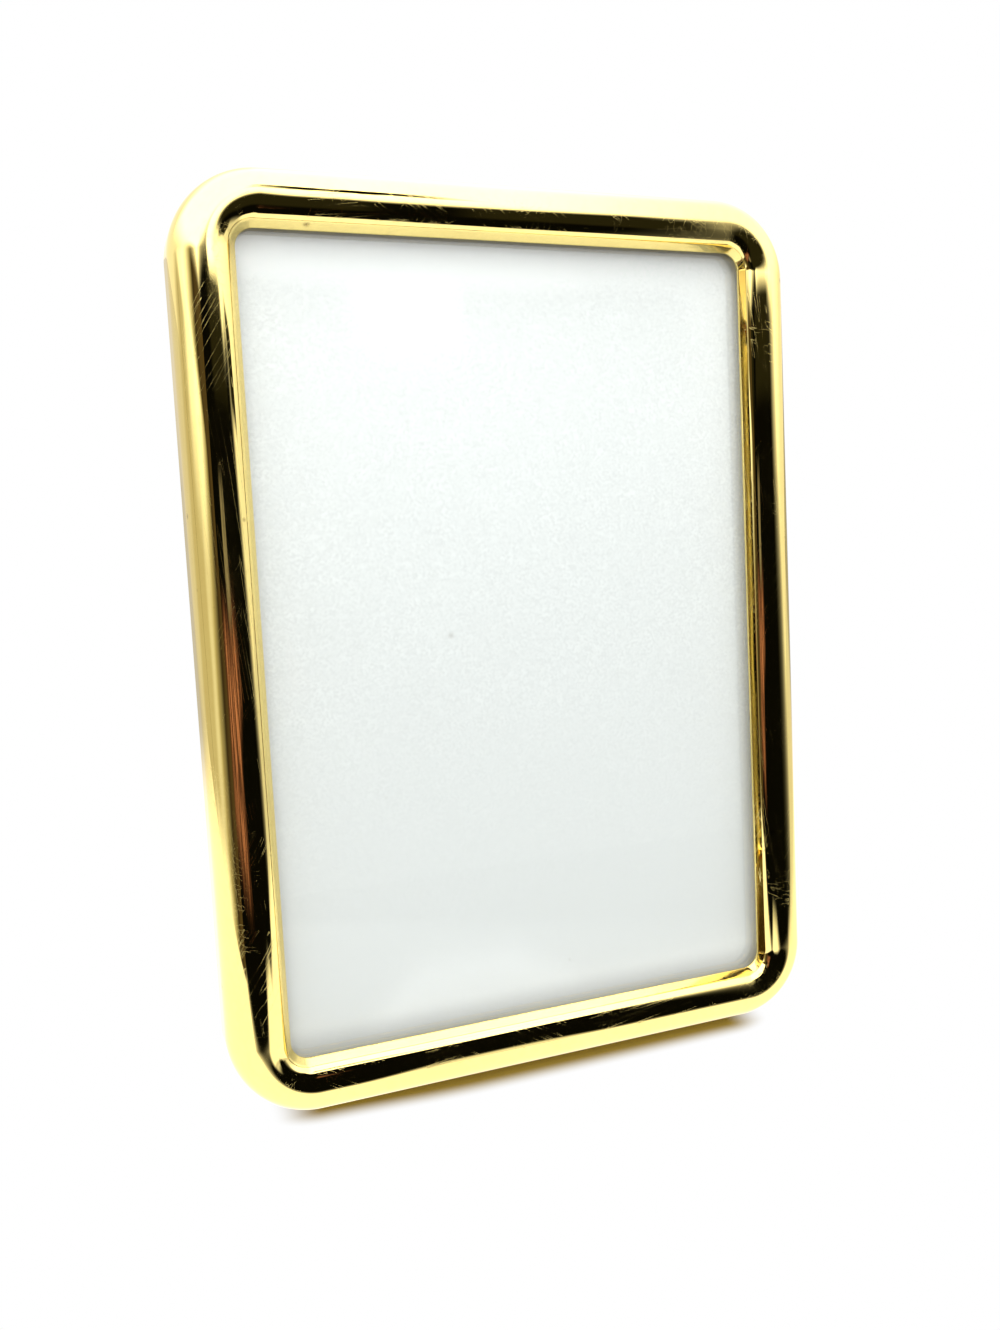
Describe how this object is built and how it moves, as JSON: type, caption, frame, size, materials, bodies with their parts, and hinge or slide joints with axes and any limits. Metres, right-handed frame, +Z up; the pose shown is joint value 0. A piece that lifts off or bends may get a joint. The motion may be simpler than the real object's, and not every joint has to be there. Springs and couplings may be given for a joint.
{
  "type": "picture frame",
  "caption": "Small easel-backed picture frame: domed brass moulding with round corners, glass, blank insert, velvet back held by turn-buttons, folding strut.",
  "frame": {"origin": "on the surface that the frame stands on, under the middle of its width and depth", "axes": "+Z up, +X to the right as seen from the front, and the glass faces -Y, leaning back 16 degrees"},
  "size_m": [0.1, 0.0598, 0.1349],
  "materials": {
    "polished_brass": "polished, with fine scratches",
    "clear_glass": "clear float glass",
    "white_paper": "matt, plain",
    "softwood": "bare, planed",
    "hardboard": "bare hardboard",
    "black_velvet": "short pile",
    "button_brass": "stamped and tumbled",
    "brassed_steel": "brass plated, satin",
    "bright_steel": "bright",
    "lining_card": "black paper lined"
  },
  "bodies": {
    "frame": {"moulding_shell": "polished_brass", "glass_pane": "clear_glass", "insert_card": "white_paper", "filler_strip_left": "softwood", "filler_strip_right": "softwood", "filler_strip_top": "softwood", "filler_strip_bottom": "softwood", "back_board": "hardboard", "back_velvet": "black_velvet", "turn_button_screw_left_lower": "bright_steel", "turn_button_screw_left_upper": "bright_steel", "turn_button_screw_right_lower": "bright_steel", "turn_button_screw_right_upper": "bright_steel", "hinge_back_leaf": "brassed_steel", "hinge_pin": "bright_steel", "back_rivet_left": "brassed_steel", "back_rivet_right": "brassed_steel"},
    "strut": {"strut_board": "lining_card", "strut_velvet": "black_velvet", "hinge_strut_leaf": "brassed_steel", "strut_rivet_left": "brassed_steel", "strut_rivet_right": "brassed_steel"},
    "button_left_lower": {"turn_button_left_lower": "button_brass"},
    "button_left_upper": {"turn_button_left_upper": "button_brass"},
    "button_right_lower": {"turn_button_right_lower": "button_brass"},
    "button_right_upper": {"turn_button_right_upper": "button_brass"}
  },
  "joints": [
    {"name": "strut_fold", "type": "hinge", "parent": "frame", "child": "strut", "pos_m": [0, 0.0088, 0.09653], "axis": [-1, 0, 0], "range_deg": [0, 28]},
    {"name": "turn_left_lower", "type": "hinge", "parent": "frame", "child": "button_left_lower", "pos_m": [-0.04695, -0.01162, 0.0332], "axis": [0, 0.9613, -0.2756], "range_deg": [-90, 90]},
    {"name": "turn_left_upper", "type": "hinge", "parent": "frame", "child": "button_left_upper", "pos_m": [-0.04695, 0.00768, 0.10049], "axis": [0, 0.9613, -0.2756], "range_deg": [-90, 90]},
    {"name": "turn_right_lower", "type": "hinge", "parent": "frame", "child": "button_right_lower", "pos_m": [0.04695, -0.01162, 0.0332], "axis": [0, 0.9613, -0.2756], "range_deg": [-90, 90]},
    {"name": "turn_right_upper", "type": "hinge", "parent": "frame", "child": "button_right_upper", "pos_m": [0.04695, 0.00768, 0.10049], "axis": [0, 0.9613, -0.2756], "range_deg": [-90, 90]}
  ]
}
